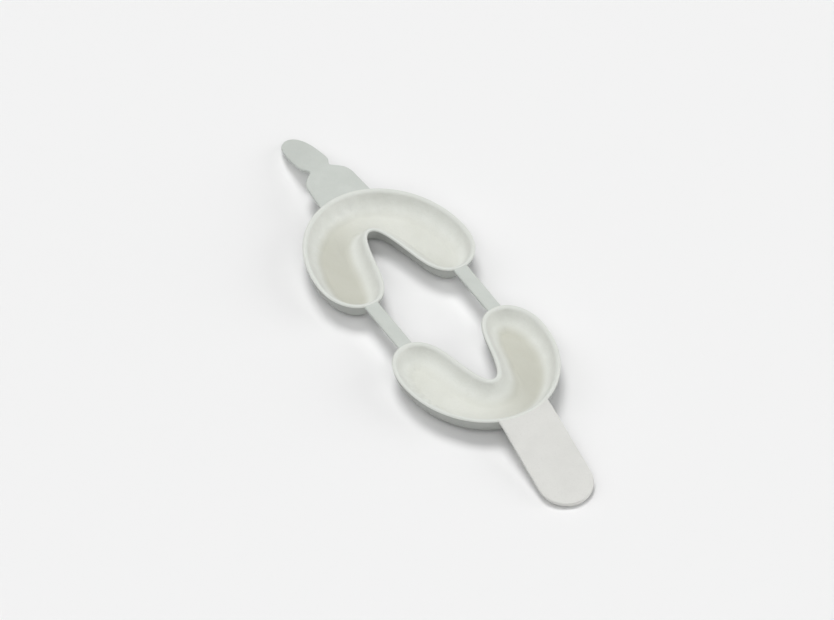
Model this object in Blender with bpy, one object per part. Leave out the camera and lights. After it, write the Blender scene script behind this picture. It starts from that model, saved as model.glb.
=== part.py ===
"""Hinged dual-arch fluoride tray: two foam troughs joined by two fold-over straps.

The blank lies flat, troughs up. +Y runs from the paddle tray to the keyed tray, +Z is up,
and the origin is under the middle of the object, on the surface that the troughs rest on.
Pieces are drawn about the middle of the straps, then set on the empty that moves them to
that origin. All lengths are in metres.
"""

import math
from collections import namedtuple

import bmesh
import bpy
from mathutils import Matrix, Vector

MM = 0.001

# Sheet and trough section
SHEET = 1.6 * MM  # foam sheet at the flange, straps and handles
WALL = 1.1 * MM  # trough wall, stretched thinner by the forming
LINING = 1.4 * MM  # absorbent lining
PIECE_GAP = 0.3 * MM  # clearance between neighbouring pieces
TRAY_HEIGHT = 9.5 * MM
LIP = 0.9 * MM  # flat rim round the trough
DRAFT = 1.6 * MM  # how far the steep part of a wall leans in
FLOOR_WIDTH = 5.0 * MM  # flat floor at the front of the arch
LINING_SETBACK = 0.9 * MM  # the lining's edge lies this far below the rim

# Arches in plan
KEYED_ARCH_WIDTH = 58.0 * MM  # upper jaw
KEYED_ARCH_LENGTH = 50.7 * MM
PADDLE_ARCH_WIDTH = 56.2 * MM  # lower jaw
PADDLE_ARCH_LENGTH = 49.1 * MM
WIDEST_FROM_TIP = 15.4 * MM  # from the arm tips to the widest line
FRONT_TROUGH_WIDTH = 20.1 * MM
NOTCH_SIDE = 6.9 * MM  # half the gap between the arms where their inner sides begin
NOTCH_SIDE_FROM_TIP = 12.4 * MM
NOTCH_LEAN = 0.24  # sideways run of the notch's sides per unit length
NOTCH_ROUND = 3.5 * MM  # size of the notch's rounded apex
TIP_ROUND = 6.4 * MM  # reach of the rounding at the inner corner of an arm tip

# Straps
STRAP_SPACING = 34.8 * MM  # between strap centre lines
STRAP_WIDTH = 5.2 * MM
FOLD_GAP = 5.8 * MM  # left between the two trough bottoms when folded

# Handles
PADDLE_WIDTH = 19.6 * MM
PADDLE_LENGTH = 38.4 * MM  # from its crease to its tip, along the slope
PADDLE_TIP_LIFT = 0.5 * MM  # from the resting surface to the tip's underside
PADDLE_ROOT_SHIFT = 1.1 * MM  # the root lies this far to +X
PADDLE_TIP_SHIFT = 1.0 * MM  # the round end lies this far to -X
CREASE_SETBACK = 0.5 * MM  # from the front of the arch to the paddle's crease
KEY_WIDTH = 19.3 * MM  # at the tray
KEY_SHOULDER_WIDTH = 17.9 * MM
KEY_SHIFT = 0.8 * MM  # the handle lies this far to +X
KEY_SHOULDER = 11.6 * MM  # from the front of the arch to the round shoulders
NECK_WIDTH = 7.6 * MM
NECK_FROM_FRONT = 15.2 * MM
TONGUE_WIDTH = 10.8 * MM
TONGUE_BARB = 5.4 * MM  # from the neck to the tongue's full width
TONGUE_BLUNTNESS = 0.72  # 0.55 ends the tongue in half an ellipse, more makes it squarer
TONGUE_LENGTH = 23.4 * MM  # from the neck to its tip, along the slope
TONGUE_DROOP = math.radians(16.0)

SAME_POINT = 0.001 * MM

# Facets
STEPS_APEX = 8
STEPS_CAP = 6
STEPS_ARCH = 12
STEPS_WALL = 6
STEPS_TIP = 14
STEPS_ROOT = 4

# Places that follow from the sizes above, measured from the middle of the straps
Arch = namedtuple("Arch", "width length")
KEYED = Arch(KEYED_ARCH_WIDTH, KEYED_ARCH_LENGTH)
PADDLED = Arch(PADDLE_ARCH_WIDTH, PADDLE_ARCH_LENGTH)
RIM_Z = TRAY_HEIGHT
FOLD_Z = TRAY_HEIGHT - SHEET
STRAP_LENGTH = 2.0 * FOLD_Z + FOLD_GAP  # the straps stand upright between folded trays
FOLD_Y = STRAP_LENGTH / 2.0
TIP_Y = FOLD_Y + PIECE_GAP / 2.0
WIDEST_Y = TIP_Y + WIDEST_FROM_TIP
TIP_X = STRAP_SPACING / 2.0
WALL_RUN = (FRONT_TROUGH_WIDTH - FLOOR_WIDTH) / 2.0  # from the rim's edge to the flat floor
NECK_Y = TIP_Y + KEYED.length + NECK_FROM_FRONT
KEY_REACH = NECK_Y + TONGUE_LENGTH * math.cos(TONGUE_DROOP)
CREASE_Y = TIP_Y + PADDLED.length + CREASE_SETBACK
PADDLE_SLOPE = math.asin((FOLD_Z - PADDLE_TIP_LIFT) / PADDLE_LENGTH)
PADDLE_REACH = CREASE_Y + PADDLE_LENGTH * math.cos(PADDLE_SLOPE)
MIDDLE_SHIFT = (PADDLE_REACH - KEY_REACH) / 2.0  # puts the origin under the object's middle

FOAM = (0.80, 0.82, 0.78)
FOAM_WARM = (0.79, 0.79, 0.73)


def clear_scene():
    for obj in list(bpy.data.objects):
        bpy.data.objects.remove(obj, do_unlink=True)


def foam_material(name, colour, roughness):
    material = bpy.data.materials.new(name)
    material.use_nodes = True
    shader = material.node_tree.nodes["Principled BSDF"]
    shader.inputs["Base Color"].default_value = (*colour, 1.0)
    shader.inputs["Roughness"].default_value = roughness
    shader.inputs["Metallic"].default_value = 0.0
    return material


def arc(centre, radii, start, end, steps):
    """Points on an ellipse, angles in degrees from +X, both ends included."""
    angles = [math.radians(start + (end - start) * i / steps) for i in range(steps + 1)]
    return [
        (centre[0] + radii[0] * math.cos(a), centre[1] + radii[1] * math.sin(a))
        for a in angles
    ]


def bezier(p0, p1, p2, p3, steps):
    """Points on a cubic curve, both ends included."""
    points = []
    for i in range(steps + 1):
        t = i / steps
        s = 1.0 - t
        weights = (s**3, 3.0 * s * s * t, 3.0 * s * t * t, t**3)
        x = sum(w * p[0] for w, p in zip(weights, (p0, p1, p2, p3)))
        y = sum(w * p[1] for w, p in zip(weights, (p0, p1, p2, p3)))
        points.append((x, y))
    return points


def joined(*runs):
    """One path from several, without a point that repeats the one before it."""
    path = []
    for point in [point for run in runs for point in run]:
        if not path or math.dist(point, path[-1]) > SAME_POINT:
            path.append(point)
    return path


def front_y(arch):
    return TIP_Y + arch.length


def notch_side(arch):
    """From the apex of the gap between the arms, down its +X side."""
    apex = (0.0, front_y(arch) - FRONT_TROUGH_WIDTH)
    side = (NOTCH_SIDE, TIP_Y + NOTCH_SIDE_FROM_TIP)
    reach = (apex[1] - side[1]) * 0.42
    return bezier(
        apex,
        (NOTCH_ROUND, apex[1]),
        (side[0] - NOTCH_LEAN * reach, side[1] + reach),
        side,
        STEPS_APEX,
    )


def inner_tip():
    """From the end of the notch's side round to the arm's tip."""
    side = (NOTCH_SIDE, TIP_Y + NOTCH_SIDE_FROM_TIP)
    reach = NOTCH_SIDE_FROM_TIP * 0.53
    return bezier(
        side,
        (side[0] + NOTCH_LEAN * reach, side[1] - reach),
        (TIP_X - TIP_ROUND, TIP_Y),
        (TIP_X, TIP_Y),
        STEPS_CAP,
    )


def outer_tip(arch):
    """From the arm's tip round to the widest point of the arch."""
    half = arch.width / 2.0 - TIP_X
    return bezier(
        (TIP_X, TIP_Y),
        (TIP_X + half * 0.62, TIP_Y),
        (TIP_X + half, WIDEST_Y - WIDEST_FROM_TIP * 0.52),
        (arch.width / 2.0, WIDEST_Y),
        STEPS_CAP,
    )


def arch_front(arch):
    """From the widest point to the middle of the front."""
    radii = (arch.width / 2.0, front_y(arch) - WIDEST_Y)
    return arc((0.0, WIDEST_Y), radii, 0.0, 90.0, STEPS_ARCH)


def mirrored(half):
    """A closed outline from its +X half, whose ends lie on the middle line."""
    return half + [(-x, y) for x, y in reversed(half[1:-1])]


def tray_outline(arch):
    """A tray's whole rim, counter-clockwise seen from above."""
    return mirrored(
        joined(notch_side(arch), inner_tip(), outer_tip(arch), arch_front(arch))
    )


def edge_y(run, x):
    """The y at which a run of points, ordered along X, passes x."""
    run = sorted(run)
    for (x0, y0), (x1, y1) in zip(run, run[1:]):
        if x <= x1:
            return y0 + (y1 - y0) * (x - x0) / (x1 - x0)
    return run[-1][1]


def normals_of(outline):
    """The inward unit normal at each point of a counter-clockwise outline."""
    count = len(outline)
    normals = []
    for i in range(count):
        before = Vector(outline[i - 1])
        here = Vector(outline[i])
        after = Vector(outline[(i + 1) % count])
        along = (here - before).normalized() + (after - here).normalized()
        along.normalize()
        normals.append(Vector((-along.y, along.x)))
    return normals


def inset(outline, normals, distance):
    return [
        (x + n.x * distance, y + n.y * distance)
        for (x, y), n in zip(outline, normals)
    ]


def wall_point(turn, offset):
    """A point of the trough's section: (distance in from the rim's edge, depth).

    turn runs from 0 at the rim to 1 at the floor. offset moves the point out of the trough,
    square to its wall, so a negative offset moves it in.
    """
    angle = turn * math.pi / 2.0
    depth = TRAY_HEIGHT - WALL
    run = WALL_RUN - LIP - DRAFT
    point = Vector((
        LIP + DRAFT * math.sin(angle) + run * (1.0 - math.cos(angle)),
        depth * math.sin(angle),
    ))
    slope = Vector((
        DRAFT * math.cos(angle) + run * math.sin(angle),
        depth * math.cos(angle),
    ))
    slope.normalize()
    return point + offset * Vector((-slope.y, slope.x))


def turn_at_depth(depth, offset):
    """The turn at which the offset wall reaches a depth, by halving."""
    low = 0.0
    high = 1.0
    for _ in range(40):
        middle = (low + high) / 2.0
        if wall_point(middle, offset).y < depth:
            low = middle
        else:
            high = middle
    return low


def wall_run(offset, first_depth):
    """The offset wall's section points, from a depth down to the floor."""
    first = turn_at_depth(first_depth, offset)
    turns = [first + (1.0 - first) * i / STEPS_WALL for i in range(STEPS_WALL + 1)]
    return [wall_point(turn, offset) for turn in turns]


def shell_section():
    """The shell's section, from the floor up inside, over the rim and down outside."""
    inside = [wall_point(i / STEPS_WALL, 0.0) for i in range(STEPS_WALL + 1)]
    outside = wall_run(WALL, SHEET)
    rim = [Vector((0.0, 0.0)), Vector((0.0, SHEET))]
    return list(reversed(inside)) + rim + outside


def lining_section():
    """The lining's section, from its upper face's floor, over its edge, to its back."""
    back = wall_run(-PIECE_GAP, LINING_SETBACK)
    face = wall_run(-PIECE_GAP - LINING, LINING_SETBACK)
    return list(reversed(face)) + back


def new_object(name, bm, material):
    bmesh.ops.recalc_face_normals(bm, faces=bm.faces)
    mesh = bpy.data.meshes.new(name)
    bm.to_mesh(mesh)
    bm.free()
    mesh.materials.append(material)
    mesh.shade_smooth()
    mesh.set_sharp_from_angle(angle=math.radians(40.0))
    obj = bpy.data.objects.new(name, mesh)
    bpy.context.scene.collection.objects.link(obj)
    return obj


def trough_body(arch, section):
    """A closed body whose section is carried round a tray's rim."""
    outline = tray_outline(arch)
    normals = normals_of(outline)
    bm = bmesh.new()
    loops = []
    for distance, depth in section:
        ring = inset(outline, normals, distance)
        loops.append([bm.verts.new((x, y, RIM_Z - depth)) for x, y in ring])
    for upper, lower in zip(loops, loops[1:]):
        for i in range(len(upper)):
            j = (i + 1) % len(upper)
            bm.faces.new((upper[i], upper[j], lower[j], lower[i]))
    bm.faces.new(loops[0])
    bm.faces.new(loops[-1])
    return bm


def plate(outline, fold_y, fold_angle):
    """A sheet cut to an outline, its far part turned down about a line along X."""
    bm = bmesh.new()
    bm.faces.new([bm.verts.new((x, y, RIM_Z)) for x, y in outline])
    bmesh.ops.bisect_plane(
        bm,
        geom=bm.verts[:] + bm.edges[:] + bm.faces[:],
        plane_co=(0.0, fold_y, 0.0),
        plane_no=(0.0, 1.0, 0.0),
    )
    extruded = bmesh.ops.extrude_face_region(bm, geom=bm.faces[:])
    under = [v for v in extruded["geom"] if isinstance(v, bmesh.types.BMVert)]
    bmesh.ops.translate(bm, verts=under, vec=(0.0, 0.0, -SHEET))
    beyond = [v for v in bm.verts if v.co.y > fold_y + 1e-6]
    bmesh.ops.rotate(
        bm,
        cent=(0.0, fold_y, RIM_Z),
        matrix=Matrix.Rotation(-fold_angle, 3, "X"),
        verts=beyond,
    )
    return bm


def spread(start, end, steps):
    return [start + (end - start) * i / steps for i in range(steps + 1)]


def root_edge(arch, xs):
    """A handle's root, one gap off the tray's front."""
    front = arch_front(arch)
    return [(x, edge_y(front, abs(x)) + PIECE_GAP) for x in xs]


def paddle_outline():
    """A plain paddle with a round end, drawn before it is turned to its own side."""
    half = PADDLE_WIDTH / 2.0
    centre = (PADDLE_TIP_SHIFT, CREASE_Y + PADDLE_LENGTH - half)
    xs = spread(-PADDLE_ROOT_SHIFT - half, -PADDLE_ROOT_SHIFT + half, 2 * STEPS_ROOT)
    across = PADDLE_TIP_SHIFT + PADDLE_ROOT_SHIFT
    lean = math.degrees(math.atan2(across, centre[1] - CREASE_Y))
    tip = arc(centre, (half, half), -lean, 180.0 - lean, 2 * STEPS_TIP)
    return joined(root_edge(PADDLED, xs), tip)


def key_outline():
    """Broad shoulders, a narrow neck and a long blunt tongue."""
    base = KEY_WIDTH / 2.0
    broad = KEY_SHOULDER_WIDTH / 2.0
    neck = NECK_WIDTH / 2.0
    tongue = TONGUE_WIDTH / 2.0
    shoulder_y = front_y(KEYED) + KEY_SHOULDER
    barb_y = NECK_Y + TONGUE_BARB
    shoulder = bezier(
        (broad, front_y(KEYED) + KEY_SHOULDER * 0.5),
        (broad, shoulder_y),
        (broad * 0.8, shoulder_y + 0.6 * MM),
        (neck, NECK_Y),
        STEPS_CAP,
    )
    barb = bezier(
        (neck, NECK_Y),
        (neck * 1.05, NECK_Y + TONGUE_BARB * 0.35),
        (tongue, barb_y - TONGUE_BARB * 0.5),
        (tongue, barb_y),
        STEPS_CAP // 2,
    )
    tip_y = NECK_Y + TONGUE_LENGTH
    tip = bezier(
        (tongue, barb_y),
        (tongue, barb_y + (tip_y - barb_y) * TONGUE_BLUNTNESS),
        (tongue * TONGUE_BLUNTNESS, tip_y),
        (0.0, tip_y),
        STEPS_TIP,
    )
    right = joined(shoulder, barb, tip)
    left = [(-x, y) for x, y in reversed(right[:-1])]
    root = root_edge(KEYED, spread(KEY_SHIFT - base, KEY_SHIFT + base, 2 * STEPS_ROOT))
    return joined(root, [(x + KEY_SHIFT, y) for x, y in right + left])


def strap_end(arch):
    """The arm tip that a strap's end follows, one gap off the rim."""
    tips = joined(inner_tip(), outer_tip(arch))
    half = STRAP_WIDTH / 2.0
    xs = spread(TIP_X - half, TIP_X + half, STEPS_ROOT)
    return [(x, edge_y(tips, x) - PIECE_GAP) for x in xs]


def strap_outline():
    """The +X strap."""
    near = [(x, -y) for x, y in strap_end(PADDLED)]
    return near + list(reversed(strap_end(KEYED)))


def keep_place(obj, parent):
    """Parents an object without moving it."""
    bpy.context.view_layer.update()
    obj.parent = parent
    obj.matrix_parent_inverse = parent.matrix_world.inverted()


def pivot(name, y, z, parent=None):
    empty = bpy.data.objects.new(name, None)
    empty.empty_display_size = 5.0 * MM
    bpy.context.scene.collection.objects.link(empty)
    empty.location = (0.0, y, z)
    if parent:
        keep_place(empty, parent)
    return empty


def place(obj, parent, turn=0.0):
    """Turns a piece about the middle of the straps, then hangs it on its joint."""
    obj.rotation_euler = (0.0, 0.0, turn)
    keep_place(obj, parent)


def keyed_tray(blank, foam, absorbent):
    shell = new_object("keyed_tray_shell", trough_body(KEYED, shell_section()), foam)
    lining = trough_body(KEYED, lining_section())
    key = plate(key_outline(), NECK_Y, TONGUE_DROOP)
    place(shell, blank)
    place(new_object("keyed_tray_lining", lining, absorbent), blank)
    place(new_object("keyed_handle", key, foam), blank)


def straps(fold, foam):
    for name, side in (("left_strap", -1.0), ("right_strap", 1.0)):
        outline = [(side * x, y) for x, y in strap_outline()]
        place(new_object(name, plate(outline, 0.0, 0.0), foam), fold)


def paddle_tray(fold, foam, absorbent):
    """Drawn like the keyed tray, then turned half round to face the other way."""
    shell = new_object("paddle_tray_shell", trough_body(PADDLED, shell_section()), foam)
    lining = trough_body(PADDLED, lining_section())
    paddle = plate(paddle_outline(), CREASE_Y, PADDLE_SLOPE)
    place(shell, fold, math.pi)
    place(new_object("paddle_tray_lining", lining, absorbent), fold, math.pi)
    place(new_object("paddle_handle", paddle, foam), fold, math.pi)


def build():
    clear_scene()
    foam = foam_material("closed_cell_foam", FOAM, 0.75)
    absorbent = foam_material("absorbent_foam", FOAM_WARM, 0.9)
    blank = pivot("flat_blank", 0.0, 0.0)
    strap_fold = pivot("strap_fold", FOLD_Y, FOLD_Z, blank)
    paddle_fold = pivot("paddle_fold", -FOLD_Y, FOLD_Z, strap_fold)
    keyed_tray(blank, foam, absorbent)
    straps(strap_fold, foam)
    paddle_tray(paddle_fold, foam, absorbent)
    blank.location.y = MIDDLE_SHIFT


build()
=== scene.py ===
"""Looks of the hinged dual-arch fluoride tray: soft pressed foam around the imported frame."""

import math
from collections import namedtuple

import bmesh
import bpy
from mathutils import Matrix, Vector, noise


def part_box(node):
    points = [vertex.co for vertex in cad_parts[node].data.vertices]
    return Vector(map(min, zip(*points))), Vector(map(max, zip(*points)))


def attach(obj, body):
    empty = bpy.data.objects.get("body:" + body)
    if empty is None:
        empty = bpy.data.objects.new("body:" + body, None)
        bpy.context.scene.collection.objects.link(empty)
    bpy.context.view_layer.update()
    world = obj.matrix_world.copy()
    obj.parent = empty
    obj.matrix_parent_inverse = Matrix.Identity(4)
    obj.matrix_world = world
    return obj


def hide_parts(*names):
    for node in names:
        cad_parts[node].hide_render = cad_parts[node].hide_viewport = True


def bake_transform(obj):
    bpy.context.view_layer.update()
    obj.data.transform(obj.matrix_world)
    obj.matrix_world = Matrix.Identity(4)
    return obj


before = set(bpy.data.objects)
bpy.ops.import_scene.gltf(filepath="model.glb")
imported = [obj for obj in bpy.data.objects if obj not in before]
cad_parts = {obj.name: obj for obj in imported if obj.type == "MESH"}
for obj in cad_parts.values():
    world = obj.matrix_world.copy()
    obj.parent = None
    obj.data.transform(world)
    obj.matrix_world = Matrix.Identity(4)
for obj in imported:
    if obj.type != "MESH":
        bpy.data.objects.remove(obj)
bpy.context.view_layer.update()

MM = 0.001
TINY = 1e-12  # keeps a division clear of zero

# Section of the blank, as in the CAD
SHEET = 1.6 * MM
WALL = 1.1 * MM
LIP = 0.9 * MM
DRAFT = 1.6 * MM
FLOOR_WIDTH = 5.0 * MM
FRONT_TROUGH_WIDTH = 20.1 * MM
WALL_RUN = (FRONT_TROUGH_WIDTH - FLOOR_WIDTH) / 2.0

# Plan, as in the CAD
WIDEST_FROM_TIP = 15.4 * MM
NOTCH_SIDE = 6.9 * MM
NOTCH_SIDE_FROM_TIP = 12.4 * MM
NOTCH_LEAN = 0.24
NOTCH_ROUND = 3.5 * MM
TIP_ROUND = 6.4 * MM
KEY_WIDTH = 19.3 * MM
KEY_SHOULDER_WIDTH = 17.9 * MM
KEY_SHIFT = 0.8 * MM
KEY_SHOULDER = 11.6 * MM
NECK_WIDTH = 7.6 * MM
NECK_FROM_FRONT = 15.2 * MM
TONGUE_WIDTH = 10.8 * MM
TONGUE_BARB = 5.4 * MM
TONGUE_BLUNTNESS = 0.72
TONGUE_LENGTH = 23.4 * MM
TONGUE_DROOP = math.radians(16.0)
PADDLE_WIDTH = 19.6 * MM
PADDLE_LENGTH = 38.4 * MM
PADDLE_TIP_LIFT = 0.5 * MM
PADDLE_ROOT_SHIFT = 1.1 * MM
PADDLE_TIP_SHIFT = 1.0 * MM
CREASE_SETBACK = 0.5 * MM

# Where the control points of the curves lie, mostly as shares of a stretch or a width
NOTCH_UPPER_REACH = 0.42
NOTCH_LOWER_REACH = 0.53
TIP_REACH = 0.62
FLANK_REACH = 0.52
SHOULDER_START = 0.5
SHOULDER_REACH = 0.8
SHOULDER_RISE = 0.6 * MM
NECK_FLARE = 1.05
BARB_LOWER_REACH = 0.35
BARB_UPPER_REACH = 0.5

# Soft details of the looks alone
LINING_DEPTH = 1.7 * MM  # from the shell's inner wall to the lining's face, at the floor
RIM_PUFF = 0.8 * MM  # the same, just below the rim
SKIN = 0.05 * MM  # between a lining's back and its shell
EDGE_ROUND = 0.32 * MM  # rounding of the die-cut edges
BELOW_RIM = 0.16 * MM  # straps and handles lie this far below the puffed rim
UNDER_RIM = 0.75 * MM  # and run this far in under it
PUFF_FADE = 1.3  # how soon the lining is at its full depth down the wall
NECK_BEND = 2.5 * MM  # radius of the bend at the keyed handle's neck
CREASE_BEND = 0.8 * MM  # and of the paddle's crease

# Shares of the wall's turn, from the rim to the floor, at which its runs start
FACE_TOP = 0.14
BACK_TOP = 0.12
OUTSIDE_TOP = 0.2

# Random swells: size across and height
Swell = namedtuple("Swell", "size height")
WALL_SWELL = Swell(11.0 * MM, 0.16 * MM)
WALL_SWELL_DEPTH = 3.0 * MM  # below the rim, where that swell is full
FACE_SWELL = Swell(6.0 * MM, 0.22 * MM)
FACE_SWELL_DEPTH = 1.0 * MM
FACE_SEED_STEP = 5.0
PLATE_SWELL = Swell(14.0 * MM, 0.22 * MM)
PLATE_STIFFNESS = 12.0 * MM  # from a handle's root to where it waves freely
KEY_SEED = 3.0
PADDLE_SEED = 8.0

# Pleats lie around a place on the outline and a turn of the wall, within a reach of each
Pleats = namedtuple(
    "Pleats", "place place_reach turn turn_reach height half_waves sway sway_rate"
)
KEYED_PLEATS = Pleats(
    place=0.53, place_reach=0.16, turn=0.40, turn_reach=0.36,
    height=0.13 * MM, half_waves=120.0, sway=1.5, sway_rate=31.0,
)
PADDLE_PLEATS = Pleats(
    place=0.36, place_reach=0.11, turn=0.60, turn_reach=0.38,
    height=0.26 * MM, half_waves=130.0, sway=2.0, sway_rate=40.0,
)

# Foam texture: noise frequencies per metre, and heights of the relief
PATCHES = 130.0
SLOW_RELIEF = 420.0
SPECKS = 1500.0
SPECK_SHADE = 0.93  # of the darker tone
CELL_HEIGHT = 0.05 * MM
RELIEF_HEIGHT = 0.25 * MM

# Painted shade on a lining, each from faint to full: a darker, yellower floor, strongest in
# one arm, and a greyer rim
FLOOR_SHADE_TONE = (0.53, 0.53, 0.46)
FLOOR_SHADE_HEIGHTS = (4.8 * MM, 2.3 * MM)
FLOOR_SHADE_ARMS = (9.0, -15.0)  # millimetres across the tray
FLOOR_SHADE_FAINT = 0.36
RIM_SHADE_TONE = (0.68, 0.70, 0.66)
RIM_SHADE_DEPTHS = (0.9 * MM, 0.1 * MM)
RIM_SHADE_FULL = 0.7

# Studio
VIEW_AZIMUTH = -30.5
VIEW_ELEVATION = 45.0
VIEW_DISTANCE = 6.5
VIEW_WIDTH = 0.2811  # metres across the picture at the object
VIEW_SHIFT_RIGHT = 5.35 * MM  # of mid strap, from the middle of the picture
VIEW_SHIFT_UP = 1.55 * MM
FLOOR_SIZE = 6.0
FLOOR_DROP = 0.05 * MM  # keeps the floor clear of the trays' undersides

# Mesh density
RUN = 96  # segments from a trough's apex to its arm tip, and from there to its front
WALL_STEPS = 12
FLOOR_STEPS = 6
PLATE_COLUMNS = 14
PADDLE_ROWS = 40
KEY_ROWS = 70
ROOT_ROWS = 8.0  # rows over which a handle's curved root straightens
STRAP_COLUMNS = 6
STRAP_ROWS = 26
CURVE_STEPS = 48
MERGE = 0.001 * MM  # points closer than this become one

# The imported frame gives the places
keyed_low, keyed_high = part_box("keyed_tray_shell")
paddle_low, paddle_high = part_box("paddle_tray_shell")
strap_low, strap_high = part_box("right_strap")
RIM_Z = keyed_high.z
MIDDLE_Y = (keyed_low.y + paddle_high.y) / 2.0
TIP_Y = (keyed_low.y - paddle_high.y) / 2.0
TIP_X = (strap_low.x + strap_high.x) / 2.0
STRAP_WIDTH = strap_high.x - strap_low.x
WIDEST_Y = TIP_Y + WIDEST_FROM_TIP
PADDLE_SLOPE = math.asin((RIM_Z - SHEET - PADDLE_TIP_LIFT) / PADDLE_LENGTH)

# Each arch is drawn towards +Y from mid strap, and turn -1 then faces it the other way
Arch = namedtuple("Arch", "width length turn seed pleats")
KEYED = Arch(
    width=keyed_high.x - keyed_low.x,
    length=keyed_high.y - keyed_low.y,
    turn=1.0,
    seed=11.0,
    pleats=KEYED_PLEATS,
)
PADDLED = Arch(
    width=paddle_high.x - paddle_low.x,
    length=paddle_high.y - paddle_low.y,
    turn=-1.0,
    seed=47.0,
    pleats=PADDLE_PLEATS,
)


# ---------------------------------------------------------------- curves


def smooth(t):
    t = min(max(t, 0.0), 1.0)
    return t * t * (3.0 - 2.0 * t)


def bump(t, middle, reach):
    """1 at middle, falling smoothly to 0 at that reach on both sides."""
    return 1.0 - smooth(abs(t - middle) / reach)


def spread(start, end, steps):
    return [start + (end - start) * i / steps for i in range(steps + 1)]


def lerp(a, b, t):
    return (a[0] + (b[0] - a[0]) * t, a[1] + (b[1] - a[1]) * t)


def arc(centre, radii, start, end):
    angles = [math.radians(a) for a in spread(start, end, CURVE_STEPS)]
    return [
        (centre[0] + radii[0] * math.cos(a), centre[1] + radii[1] * math.sin(a))
        for a in angles
    ]


def bezier(*controls):
    points = []
    for t in spread(0.0, 1.0, CURVE_STEPS):
        s = 1.0 - t
        weights = (s**3, 3.0 * s * s * t, 3.0 * s * t * t, t**3)
        x = sum(w * p[0] for w, p in zip(weights, controls))
        y = sum(w * p[1] for w, p in zip(weights, controls))
        points.append((x, y))
    return points


def evenly(path, count):
    """A path's points again, at count + 1 even distances along it."""
    reach = [0.0]
    for a, b in zip(path, path[1:]):
        reach.append(reach[-1] + math.dist(a, b))
    points = []
    k = 0
    for goal in spread(0.0, reach[-1], count):
        while k < len(path) - 2 and reach[k + 1] < goal:
            k += 1
        stretch = max(reach[k + 1] - reach[k], TINY)
        points.append(lerp(path[k], path[k + 1], (goal - reach[k]) / stretch))
    return points


def edge_y(run, x):
    """Height in plan of a run of points at x, held level past its end."""
    run = sorted(run)
    for (x0, y0), (x1, y1) in zip(run, run[1:]):
        if x <= x1:
            return y0 + (y1 - y0) * (x - x0) / max(x1 - x0, TINY)
    return run[-1][1]


def inward(outline):
    """The inward unit normal at each point of a counter-clockwise outline."""
    normals = []
    for i, here in enumerate(outline):
        before = Vector(here) - Vector(outline[i - 1])
        after = Vector(outline[(i + 1) % len(outline)]) - Vector(here)
        along = (before.normalized() + after.normalized()).normalized()
        normals.append((-along.y, along.x))
    return normals


# ---------------------------------------------------------------- trough outline


def front_y(arch):
    return TIP_Y + arch.length


def inner_run(arch):
    """From the apex of the gap between the arms to the +X arm's tip."""
    apex = (0.0, front_y(arch) - FRONT_TROUGH_WIDTH)
    side = (NOTCH_SIDE, TIP_Y + NOTCH_SIDE_FROM_TIP)
    reach = (apex[1] - side[1]) * NOTCH_UPPER_REACH
    above = (side[0] - NOTCH_LEAN * reach, side[1] + reach)
    below = NOTCH_SIDE_FROM_TIP * NOTCH_LOWER_REACH
    upper = bezier(apex, (NOTCH_ROUND, apex[1]), above, side)
    lower = bezier(
        side,
        (side[0] + NOTCH_LEAN * below, side[1] - below),
        (TIP_X - TIP_ROUND, TIP_Y),
        (TIP_X, TIP_Y),
    )
    return upper + lower[1:]


def arch_front(arch):
    """The quarter ellipse from the widest point to the middle of the front."""
    return arc((0.0, WIDEST_Y), (arch.width / 2.0, front_y(arch) - WIDEST_Y), 0.0, 90.0)


def outer_run(arch):
    """From the +X arm's tip round to the middle of the front."""
    half = arch.width / 2.0 - TIP_X
    tip = bezier(
        (TIP_X, TIP_Y),
        (TIP_X + half * TIP_REACH, TIP_Y),
        (TIP_X + half, WIDEST_Y - WIDEST_FROM_TIP * FLANK_REACH),
        (arch.width / 2.0, WIDEST_Y),
    )
    return tip + arch_front(arch)[1:]


def rim_outline(arch):
    """The whole rim, counter-clockwise from the apex of the gap between the arms."""
    right = evenly(inner_run(arch), RUN) + evenly(outer_run(arch), RUN)[1:]
    return right + [(-x, y) for x, y in reversed(right[1:-1])]


# ---------------------------------------------------------------- trough section


def wall_point(turn, offset):
    """(distance in from the rim's edge, depth) of the pressed wall, moved square to it."""
    angle = turn * math.pi / 2.0
    depth = RIM_Z - WALL
    run = WALL_RUN - LIP - DRAFT
    slope = Vector((
        DRAFT * math.cos(angle) + run * math.sin(angle),
        depth * math.cos(angle),
    )).normalized()
    return (
        LIP + DRAFT * math.sin(angle) + run * (1.0 - math.cos(angle)) - offset * slope.y,
        depth * math.sin(angle) + offset * slope.x,
    )


def lining_section():
    """From the face's floor up over the puffed rim, and down the back again."""
    face = [
        wall_point(t, -RIM_PUFF - (LINING_DEPTH - RIM_PUFF) * smooth(t * PUFF_FADE))
        for t in spread(FACE_TOP, 1.0, WALL_STEPS)
    ]
    back = [wall_point(t, -SKIN) for t in spread(BACK_TOP, 1.0, WALL_STEPS)]
    rim = [
        (2.0 * MM, 1.2 * MM),
        (1.82 * MM, 0.72 * MM),
        (1.5 * MM, 0.32 * MM),
        (1.08 * MM, 0.08 * MM),
        (0.66 * MM, -0.02 * MM),
        (0.3 * MM, 0.05 * MM),
        (0.06 * MM, 0.3 * MM),
        (0.0, 0.62 * MM),
        (0.1 * MM, 0.72 * MM),
        (0.3 * MM, 0.5 * MM),
        (0.8 * MM, 0.4 * MM),
    ]
    return list(reversed(face)) + rim + back


def shell_section():
    """From the floor up inside, over the edge under the lining and down outside."""
    inside = [wall_point(t, 0.0) for t in spread(FACE_TOP, 1.0, WALL_STEPS)]
    outside = [wall_point(t, WALL) for t in spread(OUTSIDE_TOP, 1.0, WALL_STEPS)]
    edge = [
        (0.75 * MM, 0.5 * MM),
        (0.3 * MM, 0.58 * MM),
        (0.1 * MM, 0.8 * MM),
        (0.04 * MM, 1.2 * MM),
    ]
    return list(reversed(inside)) + edge + outside


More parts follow.
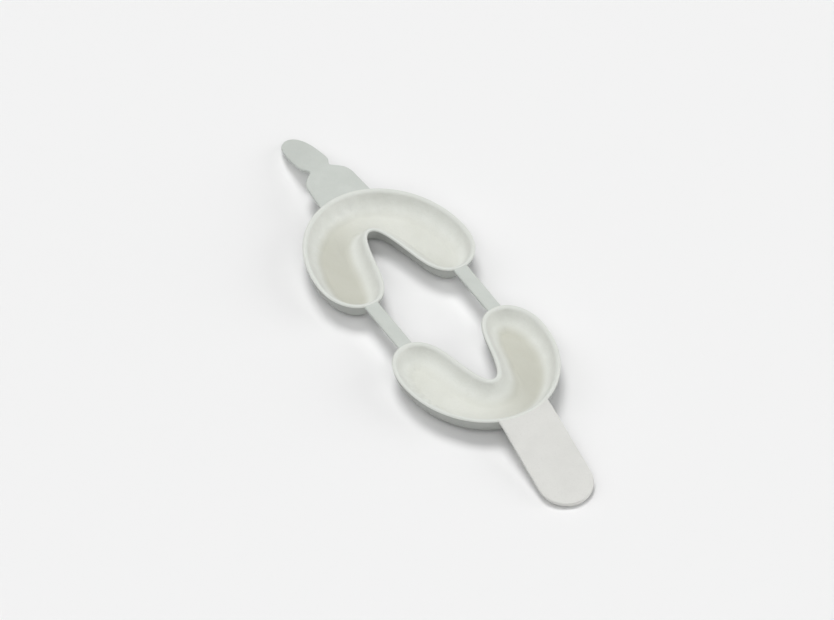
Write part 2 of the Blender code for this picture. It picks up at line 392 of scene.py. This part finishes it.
# ---------------------------------------------------------------- trough mesh


def floor_rows(bm, ring):
    """Rows of vertices across a trough's floor, apex to arm tip, for the +X and -X arm."""
    sides = []
    count = len(ring)
    for sign in (1, -1):
        rows = []
        for k in range(RUN):
            inner = ring[(sign * k) % count]
            outer = ring[(sign * (2 * RUN - k)) % count]
            if k == 0 and sides:
                rows.append(sides[0][0])
                continue
            between = [
                bm.verts.new(inner.co.lerp(outer.co, j / FLOOR_STEPS))
                for j in range(1, FLOOR_STEPS)
            ]
            rows.append([inner] + between + [outer])
        rows.append([ring[(sign * RUN) % count]])
        sides.append(rows)
    return sides


def cap_floor(bm, ring):
    for rows in floor_rows(bm, ring):
        fill_rows(bm, rows)


def fill_rows(bm, rows):
    """Faces between rows of vertices, the last of which may be a single tip."""
    for near, far in zip(rows, rows[1:]):
        for j in range(len(near) - 1):
            if len(far) == 1:
                bm.faces.new((near[j], near[j + 1], far[0]))
            else:
                bm.faces.new((near[j], near[j + 1], far[j + 1], far[j]))


def fill_band(bm, upper, lower):
    """Faces between two closed loops of as many vertices."""
    for i in range(len(upper)):
        j = (i + 1) % len(upper)
        bm.faces.new((upper[i], upper[j], lower[j], lower[i]))


def pleat_height(pleats, place, turn):
    """Height of the short pleats that pressing leaves in a trough's wall."""
    window = bump(place, pleats.place, pleats.place_reach) * bump(
        turn, pleats.turn, pleats.turn_reach
    )
    sway = pleats.sway * math.sin(place * pleats.sway_rate)
    wave = math.sin(place * pleats.half_waves * math.pi + sway)
    return pleats.height * window * wave


def uneven(point, seed, swell):
    """A slow random swell, the same on each run."""
    sample = Vector((point[0] / swell.size, point[1] / swell.size, seed))
    return swell.height * noise.noise(sample)


def trough_body(arch, section, is_lining):
    """A section carried round the rim's outline, with a floor at each of its ends."""
    outline = rim_outline(arch)
    normals = inward(outline)
    count = len(outline)
    face_points = WALL_STEPS + 1
    bm = bmesh.new()
    rings = []
    for s, (distance, depth) in enumerate(section):
        ring = []
        turn = 1.0 - s / face_points
        for i, ((x, y), n) in enumerate(zip(outline, normals)):
            swell = uneven((x, y), arch.seed, WALL_SWELL)
            inwards = distance + swell * smooth(depth / WALL_SWELL_DEPTH)
            drop = depth
            if is_lining and 0.0 < turn < 1.0:
                pleat = pleat_height(arch.pleats, i / count, turn)
                inwards += pleat
                drop -= pleat
            if is_lining and s <= face_points:
                swell = uneven((x, y), arch.seed + FACE_SEED_STEP, FACE_SWELL)
                drop += swell * smooth(depth / FACE_SWELL_DEPTH)
            height = max(RIM_Z - drop, 0.0)
            ring.append(bm.verts.new((x + n[0] * inwards, y + n[1] * inwards, height)))
        rings.append(ring)
    for upper, lower in zip(rings, rings[1:]):
        fill_band(bm, upper, lower)
    cap_floor(bm, rings[0])
    cap_floor(bm, rings[-1])
    return bm


# ---------------------------------------------------------------- plates


def plate_border(rows):
    """Row and column of each border point, counter-clockwise from row 0's first point."""
    last = len(rows) - 1
    width = len(rows[0]) - 1
    border = [(0, c) for c in range(width + 1)]
    border += [(r, width) for r in range(1, last)]
    if len(rows[last]) == 1:
        border.append((last, 0))
    else:
        border += [(last, c) for c in range(width, -1, -1)]
    border += [(r, 0) for r in range(last - 1, 0, -1)]
    return border


def plate_body(rows):
    """A sheet with softly rounded die-cut edges, its top a little below the rim."""
    border = plate_border(rows)
    outline = [rows[r][c] for r, c in border]
    normals = inward(outline)
    inset = {
        place: (x + n[0] * EDGE_ROUND, y + n[1] * EDGE_ROUND)
        for place, (x, y), n in zip(border, outline, normals)
    }
    top_z = RIM_Z - BELOW_RIM
    bottom_z = RIM_Z - SHEET
    bm = bmesh.new()
    levels = []
    for z in (top_z, bottom_z):
        levels.append([
            [bm.verts.new((*inset.get((r, c), point), z)) for c, point in enumerate(row)]
            for r, row in enumerate(rows)
        ])
        fill_rows(bm, levels[-1])
    loops = [[levels[0][r][c] for r, c in border]]
    for z in (top_z - EDGE_ROUND, bottom_z + EDGE_ROUND):
        loops.append([bm.verts.new((x, y, z)) for x, y in outline])
    loops.append([levels[1][r][c] for r, c in border])
    for upper, lower in zip(loops, loops[1:]):
        fill_band(bm, upper, lower)
    return bm


def tapered_rows(root, right, left):
    """Rows from a curved root to a tip, between a right and a left edge of equal counts."""
    rows = [root]
    shares = spread(0.0, 1.0, PLATE_COLUMNS)
    chord = [lerp(root[0], root[-1], share) for share in shares]
    rises = [point[1] - level[1] for point, level in zip(root, chord)]
    for k, (a, b) in enumerate(zip(left[1:-1], right[1:-1]), 1):
        fade = 1.0 - smooth(k / ROOT_ROWS)
        row = []
        for share, rise in zip(shares, rises):
            x, y = lerp(a, b, share)
            row.append((x, y + rise * fade))
        rows.append(row)
    rows.append([right[-1]])
    return rows


def root_row(arch, start, end):
    """A handle's first row, which follows the front a little way in under the rim."""
    front = arch_front(arch)
    return [
        (x, edge_y(front, abs(x)) - UNDER_RIM) for x in spread(start, end, PLATE_COLUMNS)
    ]


def droop(bm, fold_y, angle, radius):
    """Turns the far part of a plate down about a line along X, in a bend of that radius."""
    for v in bm.verts:
        beyond = v.co.y - fold_y
        turned = (beyond + math.hypot(beyond, radius)) / 2.0
        v.co.y -= turned * (1.0 - math.cos(angle))
        v.co.z -= turned * math.sin(angle)


def waver(bm, seed):
    """Lets a thin plate wave a little, more so away from the tray."""
    start = min(v.co.y for v in bm.verts)
    for v in bm.verts:
        free = smooth((v.co.y - start) / PLATE_STIFFNESS)
        v.co.z += uneven(v.co, seed, PLATE_SWELL) * free


def paddle_rows():
    half = PADDLE_WIDTH / 2.0
    crease_y = front_y(PADDLED) + CREASE_SETBACK
    centre = (PADDLE_TIP_SHIFT, crease_y + PADDLE_LENGTH - half)
    root = root_row(PADDLED, -PADDLE_ROOT_SHIFT - half, -PADDLE_ROOT_SHIFT + half)
    across = PADDLE_TIP_SHIFT + PADDLE_ROOT_SHIFT
    lean = math.degrees(math.atan2(across, centre[1] - crease_y))
    middle = 90.0 - lean
    right = [root[-1]] + arc(centre, (half, half), -lean, middle)
    left = [root[0]] + arc(centre, (half, half), 180.0 - lean, middle)
    return tapered_rows(root, evenly(right, PADDLE_ROWS), evenly(left, PADDLE_ROWS))


def key_edge():
    """The +X edge of the keyed handle, from its shoulders to its tip."""
    broad = KEY_SHOULDER_WIDTH / 2.0
    neck = NECK_WIDTH / 2.0
    tongue = TONGUE_WIDTH / 2.0
    shoulder_y = front_y(KEYED) + KEY_SHOULDER
    neck_y = front_y(KEYED) + NECK_FROM_FRONT
    barb_y = neck_y + TONGUE_BARB
    tip_y = neck_y + TONGUE_LENGTH
    shoulder = bezier(
        (broad, front_y(KEYED) + KEY_SHOULDER * SHOULDER_START),
        (broad, shoulder_y),
        (broad * SHOULDER_REACH, shoulder_y + SHOULDER_RISE),
        (neck, neck_y),
    )
    barb = bezier(
        (neck, neck_y),
        (neck * NECK_FLARE, neck_y + TONGUE_BARB * BARB_LOWER_REACH),
        (tongue, barb_y - TONGUE_BARB * BARB_UPPER_REACH),
        (tongue, barb_y),
    )
    tip = bezier(
        (tongue, barb_y),
        (tongue, barb_y + (tip_y - barb_y) * TONGUE_BLUNTNESS),
        (tongue * TONGUE_BLUNTNESS, tip_y),
        (0.0, tip_y),
    )
    return shoulder + barb[1:] + tip[1:]


def key_rows():
    base = KEY_WIDTH / 2.0
    root = root_row(KEYED, KEY_SHIFT - base, KEY_SHIFT + base)
    edge = key_edge()
    right = [root[-1]] + [(KEY_SHIFT + x, y) for x, y in edge]
    left = [root[0]] + [(KEY_SHIFT - x, y) for x, y in edge]
    return tapered_rows(root, evenly(right, KEY_ROWS), evenly(left, KEY_ROWS))


def strap_rows(side, end):
    """Half a strap, from just past mid strap to its arm tip. end is +1 at the keyed tray."""
    arch = KEYED if end > 0 else PADDLED
    outline = inner_run(arch) + outer_run(arch)[1:]
    tip = [point for point in outline if point[1] < WIDEST_Y]
    half = STRAP_WIDTH / 2.0
    xs = spread(TIP_X - half, TIP_X + half, STRAP_COLUMNS)
    tip_ys = [edge_y(tip, x) + UNDER_RIM for x in xs]
    rows = [
        [(side * x, end * y * t) for x, y in zip(xs, tip_ys)]
        for t in spread(-1.0 / STRAP_ROWS, 1.0, STRAP_ROWS + 1)
    ]
    return rows if side * end > 0 else [list(reversed(row)) for row in rows]


def strap_body(side, end):
    """A plate cut off square at mid strap, and open there, so that no seam shows."""
    bm = plate_body(strap_rows(side, end))
    bmesh.ops.bisect_plane(
        bm,
        geom=list(bm.verts) + list(bm.edges) + list(bm.faces),
        plane_co=(0.0, 0.0, 0.0),
        plane_no=(0.0, end, 0.0),
        clear_inner=True,
    )
    return bm


# ---------------------------------------------------------------- materials


def node(tree, kind, **inputs):
    made = tree.nodes.new(kind)
    for name, value in inputs.items():
        made.inputs[name].default_value = value
    return made


def noise_texture(tree, coordinates, scale, detail, roughness):
    texture = node(
        tree, "ShaderNodeTexNoise", Scale=scale, Detail=detail, Roughness=roughness
    )
    tree.links.new(coordinates, texture.inputs["Vector"])
    return texture.outputs["Fac"]


def mixed(tree, factor, first, second):
    mix = tree.nodes.new("ShaderNodeMix")
    mix.data_type = "RGBA"
    mix.inputs[6].default_value = (*first, 1.0)
    mix.inputs[7].default_value = (*second, 1.0)
    tree.links.new(factor, mix.inputs[0])
    return mix.outputs[2]


def tinted(tree, factor, colour, second):
    mix = tree.nodes.new("ShaderNodeMix")
    mix.data_type = "RGBA"
    mix.inputs[7].default_value = (*second, 1.0)
    tree.links.new(factor, mix.inputs[0])
    tree.links.new(colour, mix.inputs[6])
    return mix.outputs[2]


def ranged(tree, value, low, high, to_low=0.0, to_high=1.0):
    remap = tree.nodes.new("ShaderNodeMapRange")
    remap.interpolation_type = "SMOOTHSTEP"
    for name, number in (
        ("From Min", low), ("From Max", high), ("To Min", to_low), ("To Max", to_high)
    ):
        remap.inputs[name].default_value = number
    tree.links.new(value, remap.inputs["Value"])
    return remap.outputs["Result"]


def foam_relief(tree, coordinates, cell):
    """Fine cells over a slow swell, as the normal for the shader."""
    cells = tree.nodes.new("ShaderNodeTexVoronoi")
    cells.feature = "SMOOTH_F1"
    cells.inputs["Scale"].default_value = 1.0 / cell  # cell is the width of one
    cells.inputs["Smoothness"].default_value = 0.6
    tree.links.new(coordinates, cells.inputs["Vector"])
    fine = node(tree, "ShaderNodeBump", Strength=0.55, Distance=CELL_HEIGHT)
    tree.links.new(cells.outputs["Distance"], fine.inputs["Height"])
    broad = node(tree, "ShaderNodeBump", Strength=0.6, Distance=RELIEF_HEIGHT)
    slow = noise_texture(tree, coordinates, SLOW_RELIEF, detail=4.0, roughness=0.6)
    tree.links.new(slow, broad.inputs["Height"])
    tree.links.new(fine.outputs["Normal"], broad.inputs["Normal"])
    return broad.outputs["Normal"]


def foam_material(name, light, dark, cell, roughness, sheen, painted_shade=None):
    """Matt white foam: two close tones in patches, fine cells and uneven gloss."""
    material = bpy.data.materials.new(name)
    material.use_nodes = True
    tree = material.node_tree
    shader = tree.nodes["Principled BSDF"]
    coordinates = tree.nodes.new("ShaderNodeTexCoord").outputs["Object"]
    patches = noise_texture(tree, coordinates, PATCHES, detail=3.0, roughness=0.55)
    colour = mixed(tree, ranged(tree, patches, 0.3, 0.7), light, dark)
    specks = noise_texture(tree, coordinates, SPECKS, detail=2.0, roughness=0.5)
    grain = tuple(c * SPECK_SHADE for c in dark)
    colour = tinted(tree, ranged(tree, specks, 0.52, 0.85, 0.0, 0.55), colour, grain)
    # Painted shade, when given, goes over the foam's tones here.
    if painted_shade:
        colour = painted_shade(tree, coordinates, colour)
    tree.links.new(colour, shader.inputs["Base Color"])
    gloss = ranged(tree, patches, 0.2, 0.8, roughness - 0.06, roughness + 0.04)
    tree.links.new(gloss, shader.inputs["Roughness"])
    tree.links.new(foam_relief(tree, coordinates, cell), shader.inputs["Normal"])
    shader.inputs["Sheen Weight"].default_value = sheen
    shader.inputs["Sheen Roughness"].default_value = 0.6
    shader.inputs["Specular IOR Level"].default_value = 0.25
    return material


# The same foam made darker: painted shade for the outer walls, which lie in shade.
def shell_foam():
    return foam_material(
        "shell_foam",
        light=(0.44, 0.455, 0.43),
        dark=(0.41, 0.425, 0.40),
        cell=0.32 * MM,
        roughness=0.78,
        sheen=0.05,
    )


def sheet_foam():
    return foam_material(
        "sheet_foam",
        light=(0.59, 0.62, 0.585),
        dark=(0.56, 0.59, 0.555),
        cell=0.28 * MM,
        roughness=0.72,
        sheen=0.05,
    )


# The sheet foam made lighter: painted light for the paddle, which tilts towards the light.
def paddle_foam_painted_light():
    return foam_material(
        "paddle_foam_painted_light",
        light=(0.69, 0.69, 0.662),
        dark=(0.665, 0.665, 0.638),
        cell=0.28 * MM,
        roughness=0.72,
        sheen=0.05,
    )


def product(tree, first, second):
    multiply = tree.nodes.new("ShaderNodeMath")
    multiply.operation = "MULTIPLY"
    tree.links.new(first, multiply.inputs[0])
    tree.links.new(second, multiply.inputs[1])
    return multiply.outputs[0]


def lining_foam(name, turn):
    """Softer and paler foam, with painted shade: a darker, yellower floor, strongest in one
    arm, and a greyer rim.
    """

    def painted_shade(tree, coordinates, colour):
        split = tree.nodes.new("ShaderNodeSeparateXYZ")
        tree.links.new(coordinates, split.inputs["Vector"])
        # low: the share of the floor's painted shade, growing with depth; the other factor
        # puts more of it in one arm
        low = ranged(tree, split.outputs["Z"], *FLOOR_SHADE_HEIGHTS)
        faint_x, full_x = (turn * x * MM for x in FLOOR_SHADE_ARMS)
        one_arm_shade = ranged(tree, split.outputs["X"], faint_x, full_x, FLOOR_SHADE_FAINT, 1.0)
        colour = tinted(tree, product(tree, low, one_arm_shade), colour, FLOOR_SHADE_TONE)
        # The rim's painted shade: greyer towards the top of the puffed rim.
        faint_z, full_z = (RIM_Z - depth for depth in RIM_SHADE_DEPTHS)
        rim = ranged(tree, split.outputs["Z"], faint_z, full_z, 0.0, RIM_SHADE_FULL)
        return tinted(tree, rim, colour, RIM_SHADE_TONE)

    return foam_material(
        name,
        light=(0.75, 0.765, 0.725),
        dark=(0.715, 0.73, 0.685),
        cell=0.42 * MM,
        roughness=0.9,
        sheen=0.15,
        painted_shade=painted_shade,
    )


# ---------------------------------------------------------------- pieces


def finished(name, bm, material, turn=1.0, levels=1):
    """A smooth subdivided piece in its place. turn -1 faces it the other way."""
    bmesh.ops.remove_doubles(bm, verts=bm.verts, dist=MERGE)
    for v in bm.verts:
        v.co.x *= turn
        v.co.y = v.co.y * turn + MIDDLE_Y
    bmesh.ops.recalc_face_normals(bm, faces=bm.faces)
    mesh = bpy.data.meshes.new(name)
    bm.to_mesh(mesh)
    bm.free()
    mesh.shade_smooth()
    mesh.materials.append(material)
    piece = bpy.data.objects.new(name, mesh)
    bpy.context.scene.collection.objects.link(piece)
    subdivision = piece.modifiers.new("soften", "SUBSURF")
    subdivision.levels = levels
    subdivision.render_levels = levels
    return piece


def trough(arch, name, body, shell_material, lining_material):
    shell = finished(
        name + "_pressed_shell",
        trough_body(arch, shell_section(), is_lining=False),
        shell_material,
        arch.turn,
    )
    lining = finished(
        name + "_soft_lining",
        trough_body(arch, lining_section(), is_lining=True),
        lining_material,
        arch.turn,
    )
    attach(shell, body)
    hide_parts(name + "_shell")
    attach(lining, body)
    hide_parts(name + "_lining")


def key_handle(material):
    bm = plate_body(key_rows())
    droop(bm, front_y(KEYED) + NECK_FROM_FRONT, TONGUE_DROOP, NECK_BEND)
    waver(bm, KEY_SEED)
    piece = finished("keyed_handle_sheet", bm, material, KEYED.turn, levels=2)
    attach(piece, "keyed_tray")
    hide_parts("keyed_handle")


def paddle_handle(material):
    bm = plate_body(paddle_rows())
    droop(bm, front_y(PADDLED) + CREASE_SETBACK, PADDLE_SLOPE, CREASE_BEND)
    waver(bm, PADDLE_SEED)
    piece = finished("paddle_handle_sheet", bm, material, PADDLED.turn, levels=2)
    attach(piece, "paddle_tray")
    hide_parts("paddle_handle")


def strap_halves(material):
    """Each strap in two halves, one on the keyed side and one on the paddle side, that meet at
    mid strap.
    """
    for name, side in (("left_strap", -1.0), ("right_strap", 1.0)):
        for half, end, body in (
            ("keyed_half", 1.0, "keyed_tray"), ("paddle_half", -1.0, "paddle_tray")
        ):
            piece = finished(f"{name}_{half}", strap_body(side, end), material, levels=2)
            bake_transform(piece)
            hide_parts(name)


# ---------------------------------------------------------------- studio


def direction(azimuth, elevation):
    a = math.radians(azimuth)
    e = math.radians(elevation)
    return Vector((math.sin(a) * math.cos(e), -math.cos(a) * math.cos(e), math.sin(e)))


def facing(towards):
    """The rotation of a camera or a light that looks back from that direction."""
    return towards.to_track_quat("Z", "Y").to_euler()


def camera():
    """A very long lens, so that the view is nearly parallel."""
    data = bpy.data.cameras.new("camera")
    data.sensor_width = 36.0
    data.lens = data.sensor_width * VIEW_DISTANCE / VIEW_WIDTH
    data.clip_start = 1.0
    data.clip_end = 50.0
    view = bpy.data.objects.new("camera", data)
    bpy.context.scene.collection.objects.link(view)
    towards = direction(VIEW_AZIMUTH, VIEW_ELEVATION)
    turned = math.radians(VIEW_AZIMUTH)
    right = Vector((math.cos(turned), math.sin(turned), 0.0))
    up = towards.cross(right)
    mid_strap = Vector((0.0, MIDDLE_Y, RIM_Z))
    aim = mid_strap - right * VIEW_SHIFT_RIGHT - up * VIEW_SHIFT_UP
    view.location = aim + towards * VIEW_DISTANCE
    view.rotation_euler = facing(towards)
    bpy.context.scene.camera = view


def softbox(name, azimuth, elevation, energy, angle):
    """A broad far light, so that its brightness is even over the whole floor."""
    data = bpy.data.lights.new(name, "SUN")
    data.energy = energy
    data.angle = math.radians(angle)
    light = bpy.data.objects.new(name, data)
    light.rotation_euler = facing(direction(azimuth, elevation))
    bpy.context.scene.collection.objects.link(light)


def floor():
    bpy.ops.mesh.primitive_plane_add(size=FLOOR_SIZE, location=(0.0, 0.0, -FLOOR_DROP))
    plane = bpy.context.object
    plane.name = "floor"
    material = bpy.data.materials.new("floor_paper")
    material.use_nodes = True
    shader = material.node_tree.nodes["Principled BSDF"]
    shader.inputs["Base Color"].default_value = (0.86, 0.86, 0.86, 1.0)
    shader.inputs["Roughness"].default_value = 1.0
    shader.inputs["Specular IOR Level"].default_value = 0.0
    plane.data.materials.append(material)


def sky(seen, given):
    """Pale where the camera sees past the floor, though it gives the object little light."""
    world = bpy.data.worlds.new("studio")
    world.use_nodes = True
    bpy.context.scene.world = world
    tree = world.node_tree
    background = tree.nodes["Background"]
    background.inputs["Color"].default_value = (1.0, 1.0, 1.0, 1.0)
    straight = tree.nodes.new("ShaderNodeLightPath").outputs["Is Camera Ray"]
    strength = ranged(tree, straight, 0.0, 1.0, given, seen)
    tree.links.new(strength, background.inputs["Strength"])


def studio():
    bpy.context.scene.view_settings.view_transform = "Standard"
    floor()
    sky(seen=0.88, given=0.02)
    softbox("back_high", azimuth=172.0, elevation=69.0, energy=1.6, angle=28.0)
    softbox("back_left", azimuth=225.0, elevation=40.0, energy=0.7, angle=45.0)
    softbox("front_high", azimuth=-30.5, elevation=50.0, energy=1.05, angle=45.0)
    softbox("front_low", azimuth=0.0, elevation=20.0, energy=0.35, angle=45.0)
    softbox("right_low", azimuth=60.0, elevation=20.0, energy=1.0, angle=45.0)
    camera()


def build():
    shell = shell_foam()
    sheet = sheet_foam()
    keyed_lining = lining_foam("keyed_lining_foam", KEYED.turn)
    paddle_lining = lining_foam("paddle_lining_foam", PADDLED.turn)
    trough(KEYED, "keyed_tray", "keyed_tray", shell, keyed_lining)
    trough(PADDLED, "paddle_tray", "paddle_tray", shell, paddle_lining)
    key_handle(sheet)
    paddle_handle(paddle_foam_painted_light())
    strap_halves(sheet)
    studio()


build()
